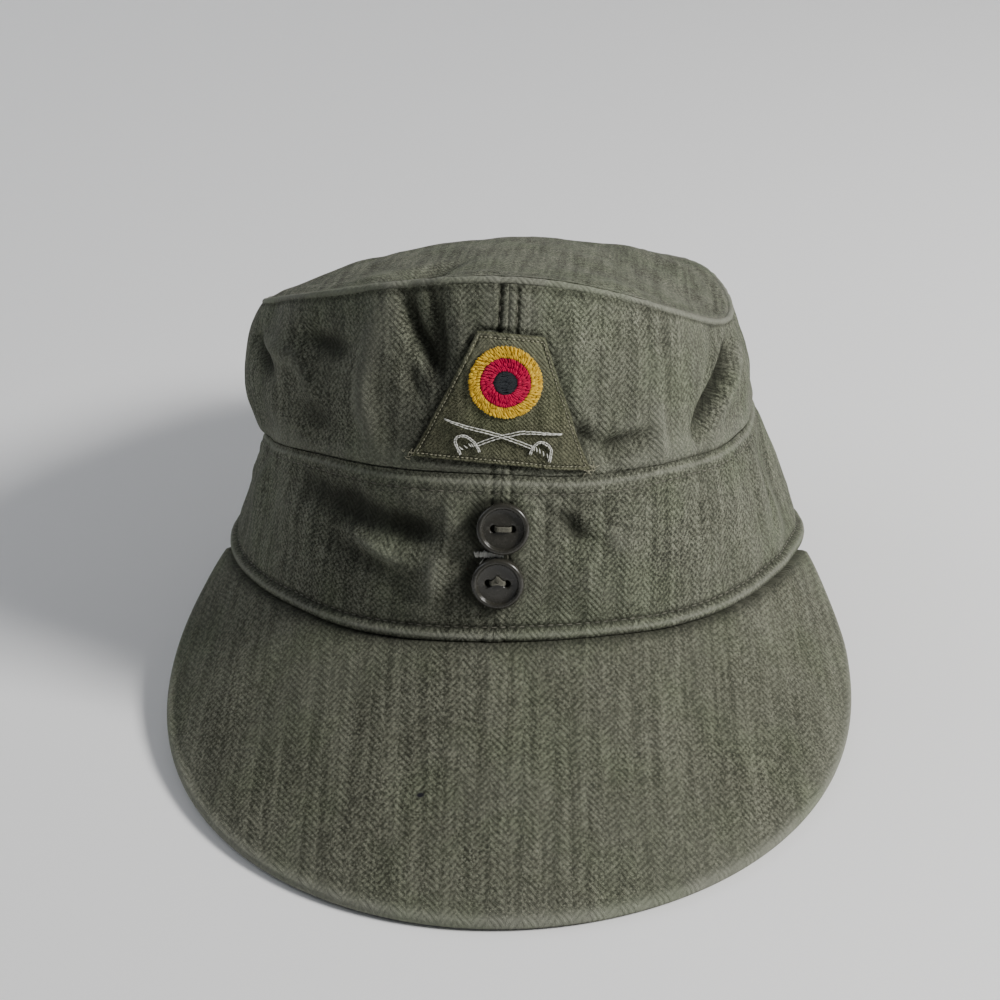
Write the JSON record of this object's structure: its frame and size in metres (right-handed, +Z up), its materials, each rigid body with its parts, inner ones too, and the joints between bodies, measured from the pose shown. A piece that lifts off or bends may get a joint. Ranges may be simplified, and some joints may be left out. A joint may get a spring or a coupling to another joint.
{
  "type": "field cap",
  "caption": "Soft cloth field cap with a tall crown, a turned-up buttoned flap, a stiff curved peak and a sewn cockade patch, resting on its rim and peak.",
  "frame": {"origin": "middle of the resting cap's footprint, on the surface that it stands on", "axes": "+Z up, the peak points to -Y, +X to the right of someone who faces the front of the cap"},
  "size_m": [0.207, 0.269, 0.1393],
  "materials": {
    "field_cloth": "worn grey-green cotton herringbone twill, matt",
    "patch_cloth": "darker olive twill, matt",
    "gold_thread": "golden yellow embroidery, slight sheen",
    "red_thread": "crimson embroidery, slight sheen",
    "black_thread": "black embroidery",
    "pale_thread": "pale grey embroidery thread",
    "sewing_thread": "grey-olive sewing thread",
    "button_plastic": "dark grey semi-gloss resin"
  },
  "bodies": {
    "root": {"crown_side_left": "field_cloth", "crown_side_right": "field_cloth", "crown_top": "field_cloth", "top_welt": "field_cloth", "flap_left": "field_cloth", "flap_right": "field_cloth", "peak": "field_cloth", "badge_patch": "patch_cloth", "cockade_gold_ring": "gold_thread", "cockade_red_ring": "red_thread", "cockade_black_disc": "black_thread", "crossed_sabres": "pale_thread", "button_upper": "button_plastic", "button_lower": "button_plastic", "button_thread_upper": "sewing_thread", "button_thread_lower": "sewing_thread", "bar_tack": "sewing_thread"}
  },
  "joints": []
}
